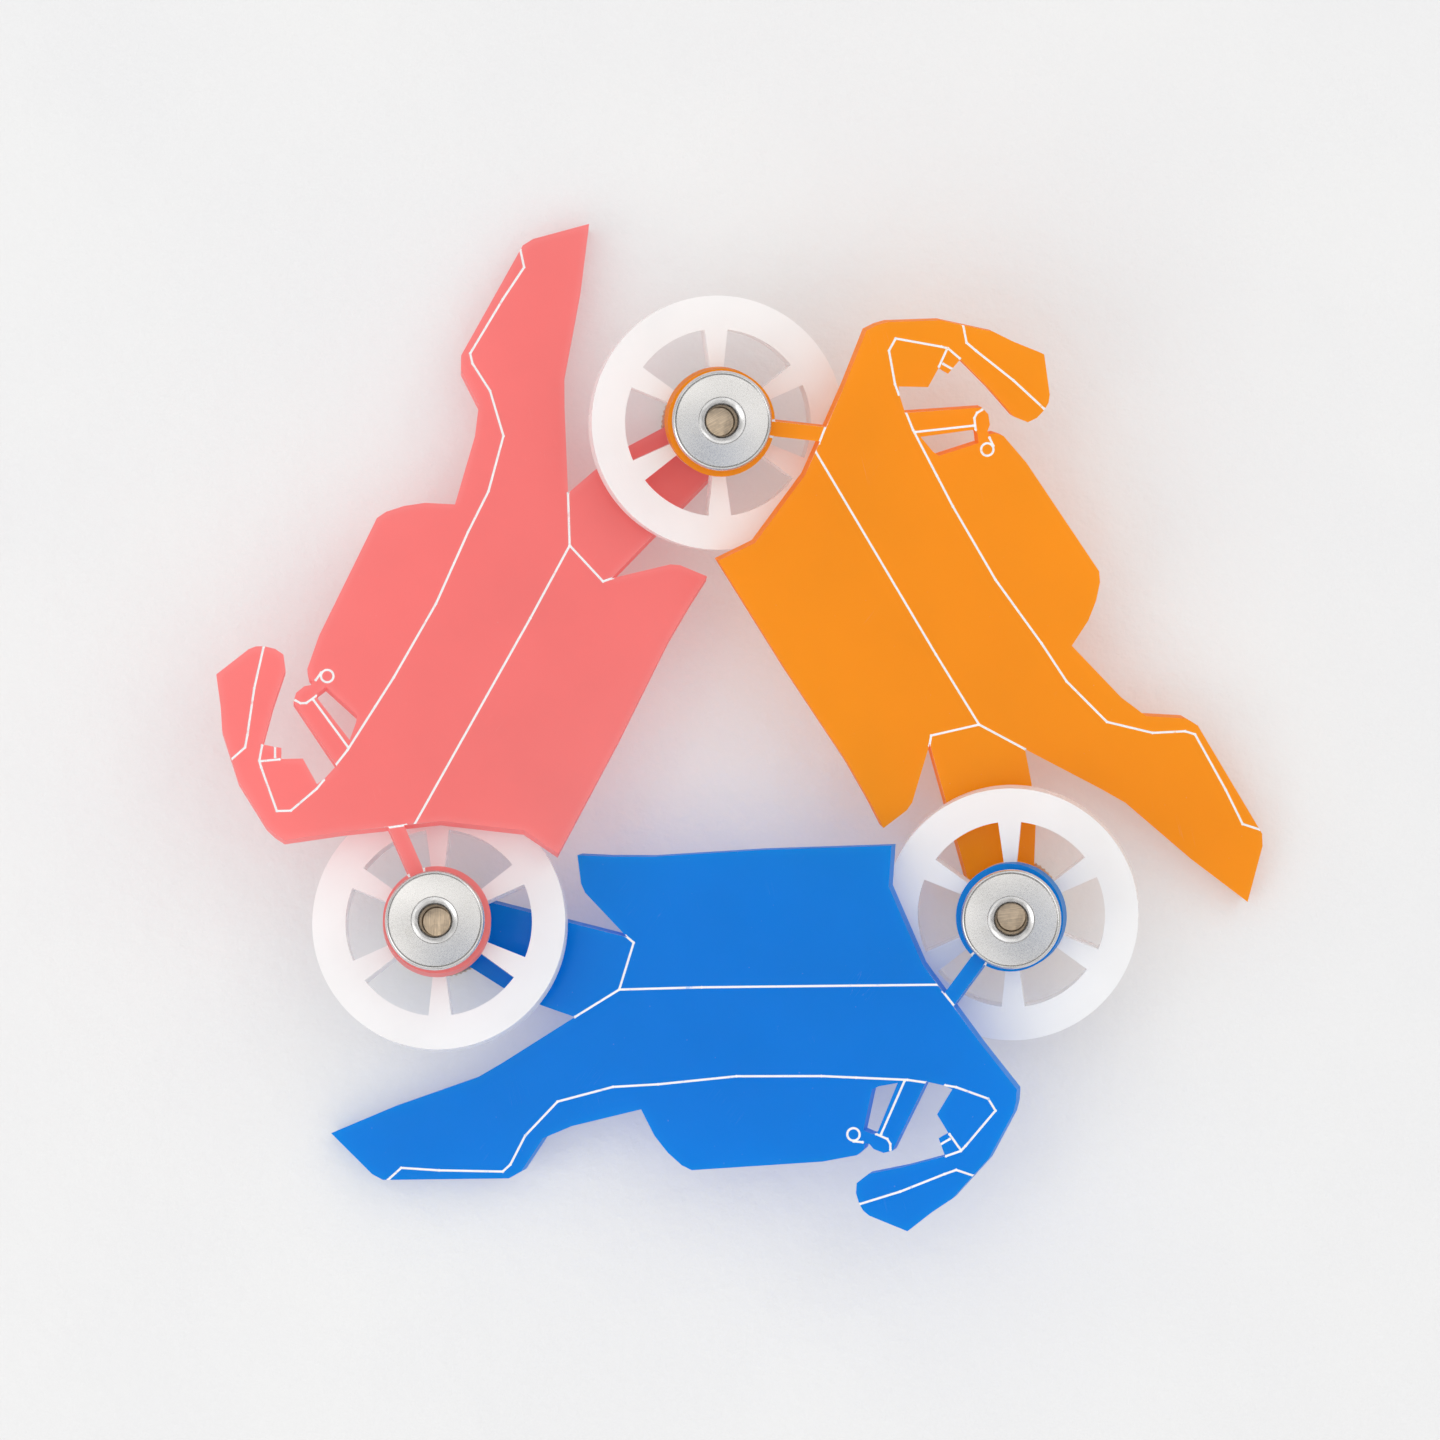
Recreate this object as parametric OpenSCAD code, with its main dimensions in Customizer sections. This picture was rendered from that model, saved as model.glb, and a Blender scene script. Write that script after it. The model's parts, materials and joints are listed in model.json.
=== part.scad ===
// Ring of three flat motorcycles, linked wheel to wheel.
// Each motorcycle is one flat sheet. Its swingarm lies under one wheel and its fork ring lies over
// the next, so all three sheets climb round the ring like overlapping slates. At each of the three
// hubs a sleeve nut and a screw hold a swingarm, a free wheel and the next motorcycle's fork ring.
// Frame: +Z up along the three-fold axis, origin on that axis at the level the ring stands on.

/* [Layout] */
// Distance between the two pivot holes of one motorcycle sheet
wheelbase = 57.8; // [56:0.1:62]
// Distance along a hub between the mid-planes of its two sheets
sheet_pitch = 9; // [9:0.1:10]
// Lean of each hub axis, in degrees, back along the ring
hub_lean = 4.5; // [4:0.5:6]
// Lean of each wheel, in degrees, which rocks on its hub to lie between its two sheets
wheel_lean = 7.5; // [7:0.5:8]
// Roll of each sheet about its wheelbase line, in degrees, inner side up
sheet_roll = 2.5; // [0:0.5:4]

/* [Motorcycle sheets] */
// Thickness of the acrylic sheet
sheet_t = 3; // [2:0.5:3]
// Outer diameter of the ring at the end of the fork
fork_ring_d = 10.8; // [10.4:0.1:11.4]
// Outer diameter of the eye at the end of the swingarm
swingarm_eye_d = 9.6; // [9:0.1:10]
// Width of the single fork strut
strut_w = 1.5; // [1.2:0.1:2]
// Diameter of both pivot holes
pivot_hole_d = 4.7; // [4.6:0.1:5.2]
// Width of an engraved line
line_w = 0.22; // [0.16:0.02:0.4]
// Depth of an engraved line
line_depth = 0.12; // [0.08:0.02:0.3]

/* [Wheels] */
// Outer diameter of a wheel
wheel_d = 25.5; // [24:0.1:26]
// Thickness of a wheel
wheel_t = 3; // [2:0.5:3]
// Diameter of the circle that the windows reach out to
window_outer_d = 18.8; // [17:0.1:20]
// Diameter of the solid disc round the bore
wheel_disc_d = 10; // [9:0.1:10.4]
// Number of spokes
spoke_count = 6; // [4:1:8]
// Angle that one spoke takes up, in degrees
spoke_angle = 14; // [10:1:20]
// Diameter of the wheel's bore
wheel_bore_d = 4.3; // [4.3:0.05:4.5]

/* [Hub fittings] */
// Diameter of the sleeve nut's flange
flange_d = 10; // [9:0.1:10.4]
// Thickness of the sleeve nut's flange
flange_t = 0.9; // [0.8:0.1:1.2]
// Outer diameter of the sleeve nut's barrel
barrel_d = 4; // [3.8:0.05:4]
// Diameter of the barrel's bore, to the crests of its thread
bore_d = 3; // [2.8:0.05:3.1]
// Radius of the flare that leads from the flange into the bore
flare_r = 1.1; // [0.9:0.1:2.2]
// Diameter of the flare where it meets the flange's face
flare_d = 4.5; // [4.2:0.1:5]
// Pitch of the thread
thread_pitch = 0.5; // [0.4:0.05:0.6]
// Diameter of the screw's knurled head
head_d = 10; // [9:0.1:10.4]
// Thickness of the screw's head
head_t = 1.2; // [1:0.1:1.4]
// Number of teeth round the head
knurl_count = 60; // [40:2:80]
// Depth of the screw's end below the flange's face
screw_recess = 3.6; // [3:0.1:4.5]

/* [Hidden] */

$fn = 96;
// Overlap that carries a cut past the face it opens through
cut = 0.5;
// Gap left where a sheet rocks against a flange
rock_gap = 0.1;
// Distance from the middle of the hub down to the wheel, which settles towards the sheet below
wheel_drop = 0.1;
// Radial gap between the screw's shank and the crests of the nut's thread
shank_gap = 0.02;
// Depth of the thread's grooves and of the knurl's notches
thread_depth = 0.15;
knurl_depth = 0.14;
// Driver slot across the screw's head
slot_w = 1;
slot_depth = 0.6;
// Chamfer on the screw's end
shank_chamfer = 0.08;

// Directions of the three hubs from the middle of the ring
top_hub = 90;
left_hub = 210;
right_hub = 330;

// Where the sheets go, worked out from the closed triangle of hubs
climb = sheet_pitch * cos(hub_lean);
sheet_slope = asin(climb / wheelbase);
hub_shift = sheet_pitch * sin(hub_lean);
hub_radius = (wheelbase * cos(sheet_slope) + hub_shift / 2) / sqrt(3);

// Tilt between a sheet and its hub axis, which sets how far the sheet's ring rocks
rock_along = sheet_slope - hub_lean / 2;
rock_across = hub_lean * sqrt(3) / 2 + sheet_roll;
rock = sqrt(pow(rock_along, 2) + pow(rock_across, 2));
flange_seat = sheet_pitch / 2 + sheet_t / 2 / cos(rock) + flange_d / 2 * tan(rock) + rock_gap;

// Outline of the body in the sheet's own plane: x runs from the swingarm's hole to the fork's,
// and +y is the side towards the middle of the ring
body_outline = [
    // back of the body above the swingarm
    [14.5, 4.1], [14.9, 3.2], [19.1, -1.4],
    // upper edge of the tail and its tip
    [13.5, -9.3], [6.0, -13.8], [3.3, -15.3], [-5.5, -18.2], [-11.8, -20.7],
    // underside of the tail and the seat
    [-7.7, -24.9], [-6.6, -25.5], [6.3, -25.5], [7.6, -24.8], [9.9, -21.5], [12.9, -20.3],
    // tank
    [20.0, -18.7], [21.3, -21.4], [22.6, -23.1], [24.0, -24.4], [25.0, -24.9], [38.3, -24.2],
    [41.8, -23.6],
    // lever and handlebar
    [42.5, -23.0], [42.7, -22.4], [43.1, -22.5], [43.5, -23.0], [44.5, -23.4], [45.4, -23.2],
    // front of the cockpit and the small tab
    [49.0, -16.3], [50.7, -16.7], [51.6, -17.1], [50.0, -19.6], [51.1, -21.5], [50.1, -22.0],
    // windscreen: its inner edge, and round its tip
    [50.7, -23.8], [46.7, -24.8], [42.9, -25.5], [41.7, -26.4], [41.6, -27.4], [41.9, -28.5],
    [42.3, -29.2], [42.9, -29.7], [46.7, -31.3],
    // up round the nose and along the front edge
    [49.1, -29.5], [51.3, -28.1], [55.1, -24.1], [57.7, -19.5], [58.0, -18.4], [58.1, -17.2],
    [54.6, -12.6], [48.9, -4.5], [45.7, 3.3],
    // belly, from front to rear
    [46.1, 7.4], [33.0, 7.2], [21.7, 6.7], [17.3, 6.8], [14.2, 7.0]
];

// Swingarm from the body to its eye
swingarm_outline = [
    [20.0, -1.6], [0.0, 3.8], [-2.0, -1.0], [3.1, -4.2], [6.5, -6.4], [10.2, -8.1], [13.5, -9.3],
    [20.0, -6.0]
];

// Gap between the tank and the handlebar
cockpit_window = [
    [43.5, -17.0], [44.2, -16.7], [46.1, -16.4], [43.9, -21.4], [43.4, -21.5], [42.5, -21.1]
];

// Foot of the fork strut, on the front edge of the body
strut_foot = [51.5, -8.1];

// Engraved lines, each one a chain of straight strokes
engraved_lines = [
    // seat, tank and cockpit
    [
        [-6.1, -25.5], [-4.7, -24.3], [-0.8, -24.6], [5.7, -24.8], [6.5, -24.1], [8.1, -21.2],
        [11.5, -17.8], [17.2, -16.4], [21.8, -16.2], [29.8, -15.5], [38.4, -15.6], [41.9, -15.8],
        [47.1, -16.1], [49.0, -16.4]
    ],
    // swingarm boundary
    [[18.9, -1.2], [19.7, -1.9], [18.1, -6.6], [13.5, -9.3]],
    // frame, from the swingarm to the fork
    [[18.1, -6.6], [26.5, -6.5], [50.4, -6.6]],
    // foot of the strut
    [[50.9, -7.3], [52.2, -9.0]],
    // handlebar
    [[46.8, -16.2], [44.3, -21.5]],
    // brake lever
    [[43.8, -21.5], [44.9, -22.0], [45.2, -22.5], [45.2, -23.1]],
    [[42.4, -22.3], [41.5, -22.2]],
    // headlamp
    [
        [50.9, -16.7], [52.0, -16.9], [55.2, -18.1], [55.9, -19.3], [52.8, -22.8], [52.3, -23.3],
        [50.8, -23.8]
    ],
    // tab
    [[51.2, -21.6], [52.3, -23.2]],
    [[50.3, -22.6], [51.2, -22.1]],
    // windscreen
    [[42.0, -28.5], [46.1, -27.3], [50.6, -25.6], [51.8, -25.2], [53.5, -25.8]]
];
// Diameter of the dot at the end of a stroke, as a share of the line's width
dot_scale = 1.3;
// Engraved circle at the end of the brake lever
lever_knob = [41.5, -21.5];
lever_knob_d = 1.25;
// Ticks where the strut runs into the ring
tick_angle = 9;
tick_start_d = 9.6;

// The ring stands on its tails or on its screw heads, whichever reach lower
tail_drop = climb / 2 + max([
    for (p = body_outline)
        -p.x * sin(sheet_slope) - cos(sheet_slope) * (p.y * sin(sheet_roll) - sheet_t / 2 * cos(sheet_roll))
]);
head_drop = (flange_seat + head_t) * cos(hub_lean) + head_d / 2 * sin(hub_lean);
hub_height = max(tail_drop, head_drop);

// Moves a sheet, drawn flat about its swingarm's hole, to its place above the rear hub
module place_sheet(rear_hub) {
    rotate([0, 0, rear_hub])
        translate([hub_radius, hub_shift / 2, hub_height - climb / 2])
        rotate([0, 0, 150])
        rotate([0, -sheet_slope, 0])
        rotate([sheet_roll, 0, 0])
        children();
}

// Moves a hub piece, drawn about the middle of the hub with +z up its own axis, to its place
module place_hub(hub, lean) {
    rotate([0, 0, hub])
        translate([hub_radius, 0, hub_height])
        rotate([lean, 0, 0])
        children();
}

// Straight stroke with the small dots that the laser leaves where it starts and stops
module stroke(from, to) {
    run = to - from;
    translate(from)
        rotate(atan2(run.y, run.x)) {
            translate([0, -line_w / 2])
                square([norm(run), line_w]);
            for (x = [0, norm(run)])
                translate([x, 0])
                    circle(d = line_w * dot_scale, $fn = 12);
        }
}

module engraving() {
    for (line = engraved_lines)
        for (i = [0 : len(line) - 2])
            stroke(line[i], line[i + 1]);
    translate(lever_knob)
        difference() {
            circle(d = lever_knob_d + line_w);
            circle(d = lever_knob_d - line_w);
        }
    fork = [wheelbase, 0];
    strut = strut_foot - fork;
    for (side = [-1, 1]) {
        angle = atan2(strut.y, strut.x) + side * tick_angle;
        direction = [cos(angle), sin(angle)];
        stroke(fork + direction * tick_start_d / 2, fork + direction * fork_ring_d / 2);
    }
}

module fork_strut() {
    run = [wheelbase, 0] - strut_foot;
    translate(strut_foot)
        rotate(atan2(run.y, run.x))
        translate([-strut_w / 2, -strut_w / 2])
        square([norm(run), strut_w]);
}

module sheet_profile() {
    difference() {
        union() {
            polygon(body_outline);
            polygon(swingarm_outline);
            circle(d = swingarm_eye_d);
            fork_strut();
            translate([wheelbase, 0])
                circle(d = fork_ring_d);
        }
        circle(d = pivot_hole_d);
        translate([wheelbase, 0])
            circle(d = pivot_hole_d);
        polygon(cockpit_window);
    }
}

module motorcycle_sheet() {
    difference() {
        translate([0, 0, -sheet_t / 2])
            linear_extrude(sheet_t)
            sheet_profile();
        translate([0, 0, sheet_t / 2 - line_depth])
            linear_extrude(line_depth + cut)
            engraving();
    }
}

// Opening between two spokes
module wheel_window() {
    half_gap = (360 / spoke_count - spoke_angle) / 2;
    reach = wheel_d;
    intersection() {
        difference() {
            circle(d = window_outer_d);
            circle(d = wheel_disc_d);
        }
        polygon([
            [0, 0],
            reach * [cos(half_gap), -sin(half_gap)],
            reach * [cos(half_gap), sin(half_gap)]
        ]);
    }
}

module wheel() {
    translate([0, 0, -wheel_t / 2])
        linear_extrude(wheel_t)
        difference() {
            circle(d = wheel_d);
            circle(d = wheel_bore_d);
            for (i = [0 : spoke_count - 1])
                rotate(360 / spoke_count * (i + 0.5))
                    wheel_window();
        }
}

// Half-section of the sleeve nut: a round-edged flange that flares down into its barrel
module nut_section() {
    face = flange_seat + flange_t;
    flare_depth = sqrt(pow(flare_r, 2) - pow(flare_r - (flare_d - bore_d) / 2, 2));
    difference() {
        union() {
            translate([0, flange_seat])
                square([flange_d / 2 - flange_t / 2, flange_t]);
            translate([flange_d / 2 - flange_t / 2, flange_seat + flange_t / 2])
                circle(d = flange_t);
            translate([0, -flange_seat])
                square([barrel_d / 2, 2 * flange_seat + flange_t / 2]);
        }
        translate([0, -flange_seat - cut])
            square([bore_d / 2, 2 * flange_seat + flange_t + 2 * cut]);
        difference() {
            translate([0, face - flare_depth])
                square([flare_d / 2, flare_depth + cut]);
            translate([bore_d / 2 + flare_r, face - flare_depth])
                circle(r = flare_r);
        }
        for (z = [face - screw_recess - thread_pitch : -thread_pitch : -flange_seat + thread_pitch])
            thread_groove(z);
        thread_groove(face - screw_recess + thread_pitch / 2);
    }
}

// Cut of one turn of thread into the wall of the bore
module thread_groove(z) {
    half = thread_pitch * 0.4;
    polygon([
        [bore_d / 2 - thread_depth, z - 2 * half],
        [bore_d / 2 + thread_depth, z],
        [bore_d / 2 - thread_depth, z + 2 * half]
    ]);
}

module sleeve_nut() {
    rotate_extrude()
        nut_section();
}

// Disc with a notched edge, seen from above
module knurled_disc() {
    polygon([
        for (i = [0 : 2 * knurl_count - 1])
            (head_d / 2 - (i % 2) * knurl_depth) * [cos(180 * i / knurl_count), sin(180 * i / knurl_count)]
    ]);
}

module hub_screw() {
    shank_r = bore_d / 2 - shank_gap;
    shank_l = 2 * flange_seat + flange_t - screw_recess;
    difference() {
        translate([0, 0, -flange_seat - head_t])
            linear_extrude(head_t)
            knurled_disc();
        translate([-head_d, -slot_w / 2, -flange_seat - head_t - cut])
            cube([2 * head_d, slot_w, slot_depth + cut]);
    }
    translate([0, 0, -flange_seat])
        cylinder(r = shank_r, h = shank_l - shank_chamfer);
    translate([0, 0, -flange_seat + shank_l - shank_chamfer])
        cylinder(r1 = shank_r, r2 = shank_r - shank_chamfer, h = shank_chamfer);
}

module pink_motorcycle() {
    color([0.99, 0.49, 0.49])
        place_sheet(top_hub)
        motorcycle_sheet();
}

module orange_motorcycle() {
    color([1.0, 0.57, 0.14])
        place_sheet(right_hub)
        motorcycle_sheet();
}

module blue_motorcycle() {
    color([0.0, 0.48, 0.88])
        place_sheet(left_hub)
        motorcycle_sheet();
}

module white_wheel(hub) {
    color([0.96, 0.96, 0.97])
        place_hub(hub, wheel_lean)
        translate([0, 0, -wheel_drop])
        wheel();
}

module steel_nut(hub) {
    color([0.75, 0.75, 0.76])
        place_hub(hub, hub_lean)
        sleeve_nut();
}

module bronze_screw(hub) {
    color([0.62, 0.52, 0.42])
        place_hub(hub, hub_lean)
        hub_screw();
}

pink_motorcycle();
orange_motorcycle();
blue_motorcycle();
white_wheel(top_hub);  // top_wheel
white_wheel(left_hub);  // left_wheel
white_wheel(right_hub);  // right_wheel
steel_nut(top_hub);  // top_sleeve_nut
steel_nut(left_hub);  // left_sleeve_nut
steel_nut(right_hub);  // right_sleeve_nut
bronze_screw(top_hub);  // top_hub_screw
bronze_screw(left_hub);  // left_hub_screw
bronze_screw(right_hub);  // right_hub_screw
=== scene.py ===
"""Looks for the ring of linked acrylic motorcycles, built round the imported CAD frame."""

import json
import math

import bpy
from mathutils import Euler, Matrix, Vector

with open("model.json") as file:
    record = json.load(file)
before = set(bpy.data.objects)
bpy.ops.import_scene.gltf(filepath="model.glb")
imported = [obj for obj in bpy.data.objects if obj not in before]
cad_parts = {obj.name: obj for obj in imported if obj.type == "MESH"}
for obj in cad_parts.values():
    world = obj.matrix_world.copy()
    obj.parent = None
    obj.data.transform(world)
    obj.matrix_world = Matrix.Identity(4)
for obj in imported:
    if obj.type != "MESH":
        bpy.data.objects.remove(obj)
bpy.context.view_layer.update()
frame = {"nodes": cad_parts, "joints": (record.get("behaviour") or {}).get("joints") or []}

MM = 0.001
TO_MM = 1000.0
HUBS = ("top", "left", "right")

# Linear colours of the face, near an edge and on the cut wall, then a weak glow from the surface
# itself, matched to how bright the acrylic looks in the photograph
# The colour near an edge and the wall colour are painted edge glow: lit and shaded copies of the
# sheet's own colour standing in for light coming out through the cut edges
SHEETS = {
    "pink": ((0.995, 0.35, 0.34), (0.995, 0.40, 0.395), (0.995, 0.46, 0.46), 0.085),
    "orange": ((0.995, 0.48, 0.022), (0.995, 0.495, 0.032), (0.995, 0.43, 0.025), 0.085),
    "blue": ((0.0, 0.355, 0.90), (0.0, 0.39, 0.91), (0.12, 0.52, 0.92), 0.0),
}
# The opal wheels: one colour on the face and near an edge, a barely darker painted wall colour, and
# a faint painted glow from the surface
OPAL = ((0.99, 0.99, 0.99), (0.99, 0.99, 0.99), (0.98, 0.98, 0.98), 0.03)

# Share of each acrylic surface that lets light through
SHEET_GLOW_SHARE = 0.6
WHEEL_GLOW_SHARE = 0.32

# Depth of the engraved grooves, and the widths of the rounded edges in millimetres
ENGRAVING_DEPTH = 0.12 * MM
SHEET_EDGE = 0.07
WHEEL_EDGE = 0.09
SCREW_EDGE = 0.03
EDGE_ANGLE = math.radians(35)

# Direction of the brushed lines on each screw's end, in radians
BRUSH_ANGLES = {"top": 0.5, "left": 1.5, "right": 0.1}

ACRYLIC_IOR = 1.49
WHITE = (1.0, 1.0, 1.0, 1.0)


# --- Node helpers -----------------------------------------------------------------------------


class Nodes:
    """Short ways to add linked nodes to a node tree."""

    def __init__(self, tree):
        self.tree = tree

    def add(self, kind, inputs=None, **settings):
        node = self.tree.nodes.new(kind)
        for key, value in settings.items():
            setattr(node, key, value)
        for key, value in (inputs or {}).items():
            if isinstance(value, bpy.types.NodeSocket):
                self.tree.links.new(value, node.inputs[key])
            else:
                node.inputs[key].default_value = value
        return node

    def math(self, operation, first, second=0.0):
        return self.add("ShaderNodeMath", {0: first, 1: second}, operation=operation).outputs[0]

    def product(self, *factors):
        """All the factors multiplied together."""
        result = factors[0]
        for factor in factors[1:]:
            result = self.math("MULTIPLY", result, factor)
        return result

    def vector(self, operation, first, second=(0.0, 0.0, 0.0)):
        node = self.add("ShaderNodeVectorMath", {0: first, 1: second}, operation=operation)
        scalar = operation in ("DOT_PRODUCT", "LENGTH", "DISTANCE")
        return node.outputs["Value" if scalar else "Vector"]

    def remap(self, value, low, high, to_low=0.0, to_high=1.0, shape="SMOOTHSTEP"):
        """The value taken from the range low to high into the range to_low to to_high."""
        limits = {"From Min": low, "From Max": high, "To Min": to_low, "To Max": to_high}
        node = self.add("ShaderNodeMapRange", {"Value": value, **limits}, interpolation_type=shape)
        return node.outputs["Result"]

    def mix(self, factor, first, second, blend="MIX"):
        node = self.add("ShaderNodeMix", data_type="RGBA", blend_type=blend)
        for index, value in ((0, factor), (6, first), (7, second)):
            if isinstance(value, bpy.types.NodeSocket):
                self.tree.links.new(value, node.inputs[index])
            else:
                node.inputs[index].default_value = value if index == 0 else (*value, 1.0)
        return node.outputs[2]

    def noise(self, where, scale, detail=2.0, roughness=0.5):
        inputs = {"Vector": where, "Scale": scale, "Detail": detail, "Roughness": roughness}
        return self.add("ShaderNodeTexNoise", inputs).outputs["Fac"]


class Material(Nodes):
    """A node material that starts empty."""

    def __init__(self, name):
        self.material = bpy.data.materials.new(name)
        self.material.use_nodes = True
        super().__init__(self.material.node_tree)
        self.tree.nodes.clear()

    def stretched(self, where, scale, turn=(0.0, 0.0, 0.0)):
        """The place turned first and then scaled along each axis."""
        inputs = {"Vector": where, "Scale": [1.0 / share for share in scale], "Rotation": turn}
        return self.add("ShaderNodeMapping", inputs, vector_type="TEXTURE").outputs["Vector"]

    def bump(self, height, distance):
        inputs = {"Height": height, "Distance": distance}
        return self.add("ShaderNodeBump", inputs).outputs["Normal"]

    def finish(self, inputs, glow=None, glow_share=0.0):
        """Ends the material in a glossy shader, mixed with one that lets light through if given."""
        shader = self.add("ShaderNodeBsdfPrincipled", inputs).outputs["BSDF"]
        if glow is not None:
            through = self.add("ShaderNodeBsdfTranslucent", {"Color": glow}).outputs["BSDF"]
            both = {0: glow_share, 1: shader, 2: through}
            shader = self.add("ShaderNodeMixShader", both).outputs["Shader"]
        self.add("ShaderNodeOutputMaterial", {"Surface": shader})
        return self.material


def turn_to(axis):
    """Rotation from the object's frame to one whose z lies along axis."""
    z = Vector(axis).normalized()
    x = Vector((0.0, 1.0, 0.0)).cross(z).normalized()
    return Matrix((x, z.cross(x), z))


def local_mm(material, origin, axis):
    """The surface point in millimetres, from origin and with z along axis."""
    turn = turn_to(axis)
    inputs = {
        "Vector": material.add("ShaderNodeTexCoord").outputs["Object"],
        "Location": -(turn @ Vector(origin)) * TO_MM,
        "Rotation": turn.to_euler(),
        "Scale": (TO_MM, TO_MM, TO_MM),
    }
    return material.add("ShaderNodeMapping", inputs).outputs["Vector"]


def from_axis(material, where):
    """Distance of the local point from the z axis."""
    return material.vector("LENGTH", material.vector("MULTIPLY", where, (1.0, 1.0, 0.0)))


def open_sky(material, distance_mm, inside=False):
    """Ambient occlusion over a short distance: 1 where the surface is open."""
    inputs = {"Distance": distance_mm * MM}
    node = material.add("ShaderNodeAmbientOcclusion", inputs, inside=inside, only_local=True)
    node.samples = 8
    return node.outputs["AO"]


def scratches(material, where, density, seeds):
    """Sparse hairline scratches in a few directions, from 0 to 1."""
    total = None
    for seed in seeds:
        along = material.stretched(where, (0.05, 2.6, 0.4), (0.0, 0.0, 0.9 * seed))
        area = material.stretched(where, (0.16, 0.16, 0.16), (seed, 0.0, seed))
        line = material.math("COMPARE", material.noise(along, 1.0, 1.0), 0.5)
        line.node.inputs[2].default_value = 0.004
        patch = material.remap(material.noise(area, 1.0), 0.62 - density, 0.72 - density)
        line = material.product(line, patch)
        total = line if total is None else material.math("MAXIMUM", total, line)
    return total


# --- Acrylic sheets ---------------------------------------------------------------------------


def plate_frame(obj):
    """A point on the plate's middle plane, its upward normal and half its thickness."""
    largest = max(obj.data.polygons, key=lambda face: face.area)
    up = largest.normal * math.copysign(1.0, largest.normal.z)
    heights = [vertex.co.dot(up) for vertex in obj.data.vertices]
    low, high = min(heights), max(heights)
    return up * (low + high) / 2, up, (high - low) / 2


def acrylic(name, origin, up, face, edge_glow_colour, wall, painted_glow_strength, glow_share):
    """Cast acrylic: polished faces, paler near the edges and in their own colour on the cut walls
    as painted edge glow, with fine laser lines on the walls.
    """
    m = Material(name)
    where = local_mm(m, origin, up)
    normal = m.add("ShaderNodeTexCoord").outputs["Normal"]
    facing = m.math("ABSOLUTE", m.vector("DOT_PRODUCT", normal, tuple(up)))
    on_wall = m.math("SUBTRACT", 1.0, m.remap(facing, 0.35, 0.8))
    marks = scratches(m, where, 0.0, (1, 2))

    # Painted edge glow: where the inside ambient occlusion finds a cut wall close by, the face
    # colour is mixed towards the paler edge colour
    edge = m.remap(open_sky(m, 0.9, inside=True), 0.97, 0.6)
    colour = m.mix(m.product(edge, 0.75), face, edge_glow_colour)
    # Painted edge glow on the cut walls themselves: they take the wall colour
    colour = m.mix(on_wall, colour, wall)
    dust = m.remap(m.noise(where, 3.2, 1.0), 0.79, 0.83)
    pale = m.product(m.math("MAXIMUM", m.product(marks, 0.4), dust), 0.12)
    colour = m.mix(pale, colour, (0.9, 0.9, 0.9))
    clouds = m.remap(m.noise(where, 0.12, 3.0), 0.3, 0.75, 0.0, 0.035)
    colour = m.mix(clouds, colour, (0.0, 0.0, 0.0))

    smudge = m.remap(m.noise(where, 0.35, 4.0, 0.65), 0.45, 0.75, 0.0, 0.12)
    roughness = m.math("ADD", m.product(on_wall, 0.16), smudge)
    roughness = m.math("ADD", roughness, m.product(marks, 0.25))
    roughness = m.math("ADD", roughness, 0.14)

    laser_lines = m.noise(m.stretched(where, (7.0, 7.0, 0.35)), 1.0, 2.0)
    relief = m.product(laser_lines, on_wall, 0.012)
    relief = m.math("ADD", relief, m.product(m.noise(where, 0.22, 1.0), 0.02))
    relief = m.math("SUBTRACT", relief, m.product(marks, 0.004))
    relief = m.math("ADD", relief, m.product(m.noise(where, 9.0), 0.0008))
    inputs = {
        "Base Color": colour,
        "Roughness": roughness,
        "Normal": m.bump(relief, MM),
        "IOR": ACRYLIC_IOR,
        "Specular IOR Level": 0.3,
        # Painted glow: the surface emits its own colour, though it is no lamp
        "Emission Color": colour,
        "Emission Strength": painted_glow_strength,
    }
    return m.finish(inputs, colour, glow_share)


def frosted(name, origin, up, face):
    """The rough white floor and walls of a laser-engraved line."""
    m = Material(name)
    where = local_mm(m, origin, up)
    grain = m.noise(where, 7.0, 3.0, 0.6)
    thin = m.remap(m.noise(where, 1.1, 3.0, 0.7), 0.60, 0.72)
    inputs = {
        "Base Color": m.mix(m.product(thin, 0.45), (0.93, 0.93, 0.93), face),
        "Roughness": m.remap(grain, 0.3, 0.7, 0.55, 0.85),
        "Normal": m.bump(grain, 0.06 * MM),
        "IOR": ACRYLIC_IOR,
    }
    return m.finish(inputs)


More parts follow.
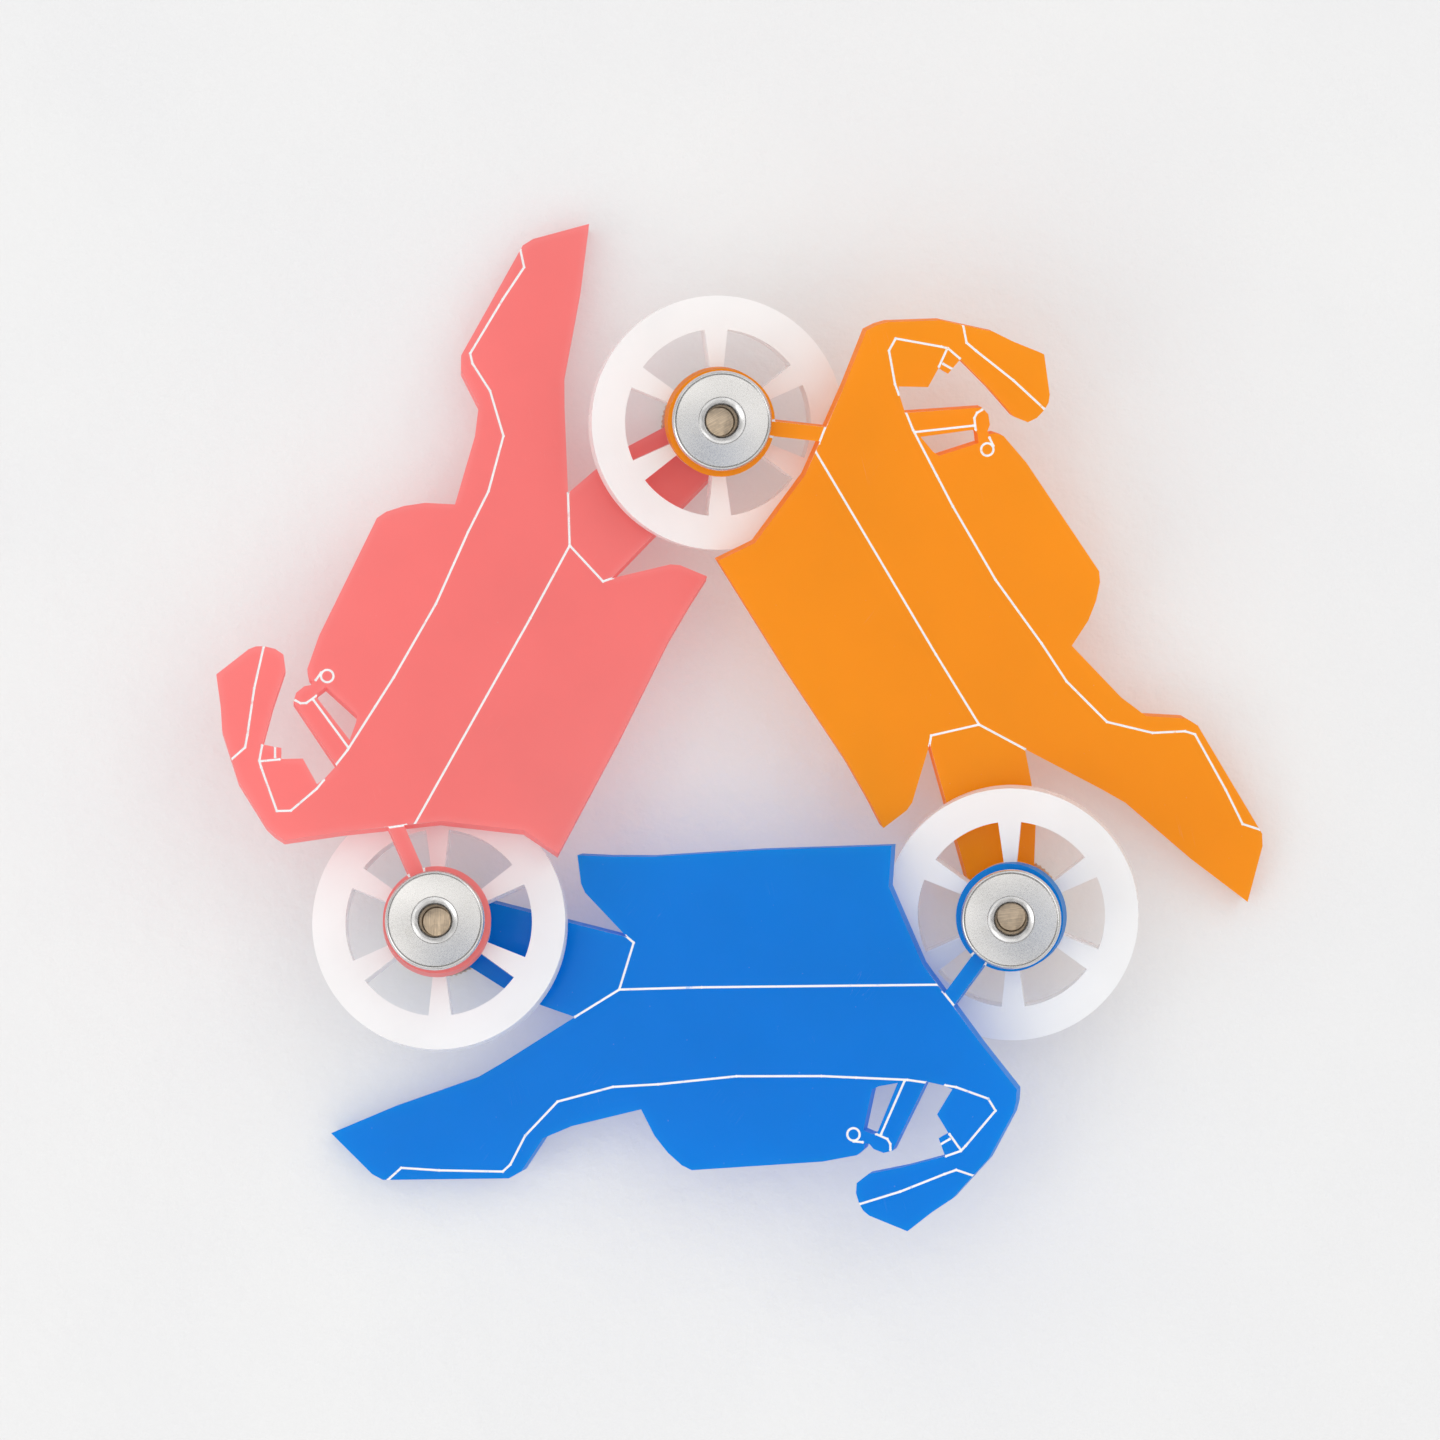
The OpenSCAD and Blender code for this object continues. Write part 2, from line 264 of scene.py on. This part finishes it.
def split_engraving(obj, up, top, material):
    """Gives the engraved faces their own material, and every other sharp edge a bevel weight."""
    tree = bpy.data.node_groups.new(obj.name + "_engraving", "GeometryNodeTree")
    for way in ("INPUT", "OUTPUT"):
        tree.interface.new_socket("Geometry", in_out=way, socket_type="NodeSocketGeometry")
    g = Nodes(tree)

    place = g.add("GeometryNodeInputPosition").outputs[0]
    height = g.vector("DOT_PRODUCT", place, tuple(up))
    above = g.math("GREATER_THAN", height, top - 1.3 * ENGRAVING_DEPTH)
    below = g.math("LESS_THAN", height, top - 0.1 * ENGRAVING_DEPTH)
    engraved = g.product(above, below)
    start = g.add("NodeGroupInput").outputs[0]
    inputs = {"Geometry": start, "Selection": engraved, "Material": material}
    painted = g.add("GeometryNodeSetMaterial", inputs).outputs[0]

    on_faces = g.add(
        "GeometryNodeFieldOnDomain", {0: engraved}, domain="FACE", data_type="FLOAT"
    ).outputs[0]
    plain = g.math("LESS_THAN", on_faces, 0.01)
    angle = g.add("GeometryNodeInputMeshEdgeAngle").outputs["Unsigned Angle"]
    sharp = g.math("GREATER_THAN", angle, 0.5)
    weight = g.product(plain, sharp)
    inputs = {"Geometry": painted, "Name": "bevel_weight_edge", "Value": weight}
    stored = g.add(
        "GeometryNodeStoreNamedAttribute", inputs, data_type="FLOAT", domain="EDGE"
    ).outputs[0]
    g.add("NodeGroupOutput", {0: stored})
    obj.modifiers.new("engraving", "NODES").node_group = tree


def round_edges(obj, width_mm, segments, by_weight=False):
    bevel = obj.modifiers.new("rounded edges", "BEVEL")
    bevel.limit_method = "WEIGHT" if by_weight else "ANGLE"
    bevel.angle_limit = EDGE_ANGLE
    bevel.width = width_mm * MM
    bevel.segments = segments
    bevel.harden_normals = True
    bevel.use_clamp_overlap = not by_weight
    bevel.miter_outer = "MITER_ARC"


def paint(obj, material):
    obj.material_slots[0].material = material


for colour, tones in SHEETS.items():
    sheet = frame["nodes"][colour + "_motorcycle"]
    middle, up, half = plate_frame(sheet)
    plastic = acrylic(colour + "_sheet", middle, up, *tones, SHEET_GLOW_SHARE)
    paint(sheet, plastic)
    engraving = frosted(colour + "_engraving", middle, up, tones[0])
    split_engraving(sheet, up, middle.dot(up) + half, engraving)
    round_edges(sheet, SHEET_EDGE, 2, by_weight=True)

for hub in HUBS:
    wheel = frame["nodes"][hub + "_wheel"]
    middle, up, half = plate_frame(wheel)
    plastic = acrylic(hub + "_opal", middle, up, *OPAL, WHEEL_GLOW_SHARE)
    paint(wheel, plastic)
    round_edges(wheel, WHEEL_EDGE, 2)


# --- Metal ------------------------------------------------------------------------------------


def steel(name, origin, axis):
    """Tumbled steel: finely grained, slightly domed flange, polished rim and flare, painted shade
    in the bore.
    """
    m = Material(name)
    where = local_mm(m, origin, axis)
    radius = from_axis(m, where)
    # 1 on the flange's flat ring and 1 in the bore, by the distance from the axis in millimetres;
    # the bore mask carries painted shade
    face = m.product(m.remap(radius, 2.28, 2.4), m.remap(radius, 4.75, 4.55))
    bore = m.remap(radius, 1.56, 1.50)

    grains = m.noise(where, 8.0, 4.0, 0.7)
    pits = m.remap(m.noise(where, 16.0, 2.0), 0.60, 0.70)
    stains = m.noise(where, 0.7, 4.0, 0.6)
    colour = m.mix(m.remap(grains, 0.35, 0.65), (0.62, 0.605, 0.59), (0.68, 0.665, 0.65))
    colour = m.mix(m.product(pits, 0.14), colour, (0.42, 0.41, 0.40))
    colour = m.mix(m.remap(stains, 0.5, 0.75, 0.0, 0.25), colour, (0.58, 0.55, 0.50))
    colour = m.mix(face, (0.70, 0.69, 0.685), colour)
    # Painted shade: the bore is darkened where the hole lies in shadow
    colour = m.mix(m.product(bore, 0.6), colour, (0.20, 0.19, 0.17))

    satin = m.product(face, m.remap(grains, 0.3, 0.7, 0.22, 0.32))
    polished = m.product(m.math("SUBTRACT", 1.0, face), m.remap(stains, 0.3, 0.7, 0.18, 0.30))

    relief = m.product(grains, face, 0.0035)
    relief = m.math("SUBTRACT", relief, m.product(pits, face, 0.002))
    relief = m.math("SUBTRACT", relief, m.product(radius, radius, face, 0.018))
    relief = m.math("SUBTRACT", relief, m.product(scratches(m, where, -0.02, (1, 3)), 0.001))
    inputs = {
        "Base Color": colour,
        "Metallic": 1.0,
        "Roughness": m.math("ADD", satin, polished),
        "Normal": m.bump(relief, MM),
    }
    return m.finish(inputs)


def bronze(name, origin, axis, brush_angle):
    """Turned bronze-coloured screw: brushed end, painted shade in the knurl and slot."""
    m = Material(name)
    where = local_mm(m, origin, axis)
    across_brush = m.stretched(where, (0.5, 11.0, 1.0), (0.0, 0.0, brush_angle))
    brushed = m.noise(across_brush, 1.0, 3.0, 0.6)
    cloud = m.noise(where, 1.3, 4.0, 0.6)
    colour = m.mix(m.remap(brushed, 0.3, 0.7), (0.66, 0.51, 0.36), (0.84, 0.67, 0.48))
    colour = m.mix(m.remap(cloud, 0.45, 0.75, 0.0, 0.5), colour, (0.50, 0.42, 0.34))
    # Painted shade: darker where the surface is closed in, in the knurl and the slot
    knurl_shade = m.remap(open_sky(m, 0.35), 0.95, 0.55, 0.0, 0.7)
    colour = m.mix(knurl_shade, colour, (0.12, 0.085, 0.055))
    turned = m.math("SINE", m.product(from_axis(m, where), 34.0))
    relief = m.math("ADD", m.product(brushed, 0.012), m.product(turned, 0.0008))
    inputs = {
        "Base Color": colour,
        "Metallic": 1.0,
        "Roughness": m.remap(cloud, 0.3, 0.7, 0.32, 0.5),
        "Normal": m.bump(relief, MM),
    }
    return m.finish(inputs)


turns = {joint["name"]: joint for joint in frame["joints"]}
for hub in HUBS:
    joint = turns[hub + "_hub_turn"]
    place = (joint["pos_m"], joint["axis"])
    nut = frame["nodes"][hub + "_sleeve_nut"]
    screw = frame["nodes"][hub + "_hub_screw"]
    paint(nut, steel(hub + "_steel", *place))
    paint(screw, bronze(hub + "_bronze", *place, BRUSH_ANGLES[hub]))
    round_edges(screw, SCREW_EDGE, 1)


# --- Floor, light and camera ------------------------------------------------------------------


FLOOR_HALF = 3.0
FLOOR_DROP = 0.05 * MM
FLOOR_GLOW = 0.21


def floor_material():
    """Pale, slightly fleecy and faintly lit from itself, so the shadows on it stay light."""
    m = Material("pale_floor")
    where = m.add("ShaderNodeTexCoord").outputs["Object"]
    fleece = m.noise(where, 260.0, 6.0, 0.6)
    folds = m.noise(where, 30.0, 3.0, 0.5)
    relief = m.math("ADD", m.product(fleece, 0.5), folds)
    colour = m.mix(m.remap(folds, 0.35, 0.65), (0.605, 0.605, 0.61), (0.62, 0.62, 0.62))
    inputs = {
        "Base Color": colour,
        "Roughness": 1.0,
        "Specular IOR Level": 0.0,
        "Normal": m.bump(relief, 0.6 * MM),
        "Emission Color": WHITE,
        "Emission Strength": FLOOR_GLOW,
    }
    return m.finish(inputs)


square = ((-1, -1), (1, -1), (1, 1), (-1, 1))
corners = [(x * FLOOR_HALF, y * FLOOR_HALF, -FLOOR_DROP) for x, y in square]
floor_mesh = bpy.data.meshes.new("floor")
floor_mesh.from_pydata(corners, [], [(0, 1, 2, 3)])
floor = bpy.data.objects.new("floor", floor_mesh)
bpy.context.scene.collection.objects.link(floor)
floor.data.materials.append(floor_material())


def softbox(name, place, size, power):
    """A large square lamp that faces the middle of the ring; size in metres, power in watts."""
    light = bpy.data.lights.new(name, "AREA")
    light.shape = "SQUARE"
    light.size = size
    light.energy = power
    lamp = bpy.data.objects.new(name, light)
    lamp.location = place
    lamp.rotation_mode = "QUATERNION"
    lamp.rotation_quaternion = (-Vector(place)).to_track_quat("-Z", "Y")
    bpy.context.scene.collection.objects.link(lamp)


softbox("left_softbox", (-0.75, -0.35, 0.50), 0.6, 1.6)
softbox("right_softbox", (0.60, 0.55, 0.65), 0.5, 0.5)


# Brightness of the light tent by the z of the unit direction: 0 level, 1 straight overhead
TENT = ((0.0, 0.55), (0.35, 0.65), (0.62, 0.95), (0.80, 1.25), (0.93, 1.20), (1.0, 0.95))
TENT_STRENGTH = 1.07
# Direction of the tent's cool, darker side near the top, and its tint and the tint elsewhere
COOL_SIDE = (0.08, -0.24, 0.97)
COOL_TINT = (0.46, 0.50, 0.58)
WARM_TINT = (1.02, 1.015, 1.005)


def studio_world():
    """A white light tent with soft patches, brightest part way up and cooler on one side."""
    world = bpy.data.worlds.new("studio")
    world.use_nodes = True
    w = Nodes(world.node_tree)
    direction = w.add("ShaderNodeTexCoord").outputs["Generated"]
    height = w.add("ShaderNodeSeparateXYZ", {0: direction}).outputs["Z"]
    ramp = w.add("ShaderNodeValToRGB", {"Fac": height})
    while len(ramp.color_ramp.elements) < len(TENT):
        ramp.color_ramp.elements.new(0.5)
    for element, (place, grey) in zip(ramp.color_ramp.elements, TENT):
        element.position = place
        element.color = (grey, grey, grey, 1.0)

    from_cool = w.vector("DISTANCE", direction, COOL_SIDE)
    tint = w.mix(w.remap(from_cool, 0.12, 0.42, shape="LINEAR"), COOL_TINT, WARM_TINT)
    patches = w.remap(w.noise(direction, 5.5, 1.0), 0.38, 0.62, 0.62, 1.38, shape="LINEAR")
    background = world.node_tree.nodes["Background"]
    lit = w.mix(1.0, ramp.outputs["Color"], tint, blend="MULTIPLY")
    world.node_tree.links.new(lit, background.inputs["Color"])
    strength = w.product(patches, TENT_STRENGTH)
    world.node_tree.links.new(strength, background.inputs["Strength"])
    return world


bpy.context.scene.world = studio_world()
bpy.context.scene.view_settings.view_transform = "Standard"

CAMERA_PLACE = (-0.2 * MM, 3.34 * MM, 1.0)
CAMERA_TURN = math.radians(-1.118)
CAMERA_SENSOR = 36.0
CAMERA_LENS = 246.7
camera_data = bpy.data.cameras.new("camera")
camera_data.sensor_width = CAMERA_SENSOR
camera_data.lens = CAMERA_LENS
camera = bpy.data.objects.new("camera", camera_data)
camera.location = CAMERA_PLACE
camera.rotation_euler = Euler((0.0, 0.0, CAMERA_TURN))
bpy.context.scene.collection.objects.link(camera)
bpy.context.scene.camera = camera
